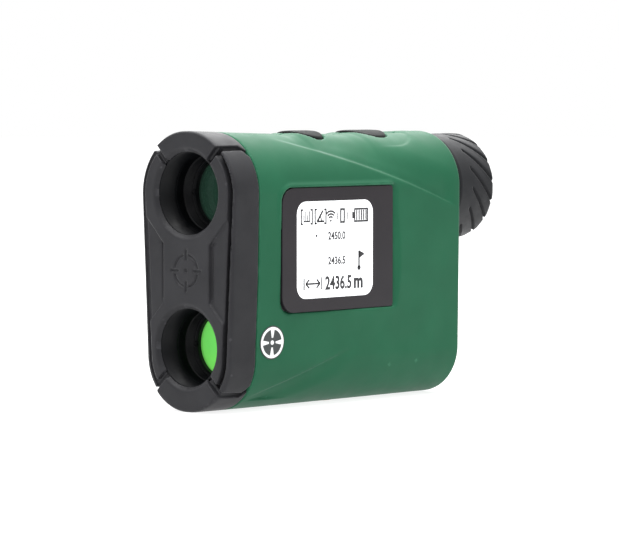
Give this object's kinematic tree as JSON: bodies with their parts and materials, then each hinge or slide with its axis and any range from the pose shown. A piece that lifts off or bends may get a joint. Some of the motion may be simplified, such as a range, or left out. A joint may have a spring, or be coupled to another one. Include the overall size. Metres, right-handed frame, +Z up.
{
  "type": "laser rangefinder",
  "caption": "Hand-held laser rangefinder with a stacked pair of apertures, a side display, top buttons and a turning dioptre eyepiece.",
  "frame": {"origin": "middle of the base, under the middle of the overall box; z 0 is the lowest line of the body", "axes": "+X towards the eyepiece, -X towards what is measured, -Y the display side, +Z up through the buttons"},
  "size_m": [0.1142, 0.0386, 0.078],
  "materials": {
    "green_housing": "soft-touch satin, mid green",
    "cap_plastic": "fine satin, charcoal",
    "black_plastic": "matt black",
    "white_plastic": "matt white",
    "grip_rubber": "matt moulded rubber",
    "button_rubber": "satin moulded rubber",
    "seal_rubber": "matt",
    "display_window": "gloss, dark printed border",
    "display_screen": "white reflective screen",
    "badge_print": "printed disc, white ring on dark",
    "dark_glass": "multi-coated, dark green reflection",
    "green_coated_glass": "coated, bright green reflection",
    "clear_glass": "polished",
    "alloy": "die cast, fine grain",
    "steel": "plated",
    "brass": "machined",
    "circuit_board": "solder mask",
    "battery_wrap": "shrink wrap",
    "ribbon_film": "polyimide film"
  },
  "bodies": {
    "body": {"front_cap": "cap_plastic", "front_plate": "cap_plastic", "cap_seal": "seal_rubber", "housing_left": "green_housing", "housing_right": "green_housing", "badge_disc": "badge_print", "tripod_insert": "brass", "display_window": "display_window", "display_gasket": "seal_rubber", "lcd_panel": "display_screen", "lcd_backlight": "white_plastic", "display_carrier": "black_plastic", "display_ribbon": "ribbon_film", "button_seal": "seal_rubber", "switch_board": "circuit_board", "switch_power": "steel", "switch_mode": "steel", "objective_tube": "black_plastic", "objective_retainer": "black_plastic", "objective_lens": "dark_glass", "objective_seal": "seal_rubber", "receiver_tube": "black_plastic", "receiver_retainer": "black_plastic", "receiver_lens": "green_coated_glass", "receiver_seal": "seal_rubber", "receiver_filter": "clear_glass", "detector": "steel", "detector_board": "circuit_board", "optical_chassis": "alloy", "prism_housing": "black_plastic", "roof_prism": "clear_glass", "half_prism": "clear_glass", "reticle_display": "clear_glass", "laser_module": "brass", "main_board": "circuit_board", "battery": "battery_wrap", "battery_cradle": "black_plastic", "charge_board": "circuit_board", "usb_port": "steel", "eyepiece_tube": "black_plastic", "eyepiece_locknut": "alloy", "case_screw_1": "steel", "case_screw_2": "steel", "case_screw_3": "steel", "case_screw_4": "steel"},
    "power_key": {"button_power": "button_rubber"},
    "mode_key": {"button_mode": "button_rubber"},
    "diopter": {"diopter_ring": "black_plastic", "diopter_grip": "grip_rubber"},
    "ocular": {"ocular_cell": "black_plastic", "field_lens": "clear_glass", "eye_lens": "dark_glass", "ocular_retainer": "black_plastic", "guide_pin": "steel"},
    "port_flap": {"usb_cover": "grip_rubber"}
  },
  "joints": [
    {"name": "power_press", "type": "slide", "parent": "body", "child": "power_key", "axis": [0, 0, -1], "range_m": [0, 0.0007], "stiffness_N_per_m": 1500},
    {"name": "mode_press", "type": "slide", "parent": "body", "child": "mode_key", "axis": [0, 0, -1], "range_m": [0, 0.0007], "stiffness_N_per_m": 1500},
    {"name": "diopter_turn", "type": "hinge", "parent": "body", "child": "diopter", "pos_m": [0.0489, 0, 0.0607], "axis": [1, 0, 0], "range_deg": [-120, 120]},
    {"name": "ocular_travel", "type": "slide", "parent": "body", "child": "ocular", "axis": [1, 0, 0], "range_m": [-0.0016, 0.0016]},
    {"name": "port_flap_hinge", "type": "hinge", "parent": "body", "child": "port_flap", "pos_m": [0.0376, 0, 0.0354], "axis": [0, -1, 0], "range_deg": [0, 95]}
  ],
  "couplings": [
    {"joint": "diopter_turn", "follows": "ocular_travel", "rad_per_m": 1309}
  ]
}
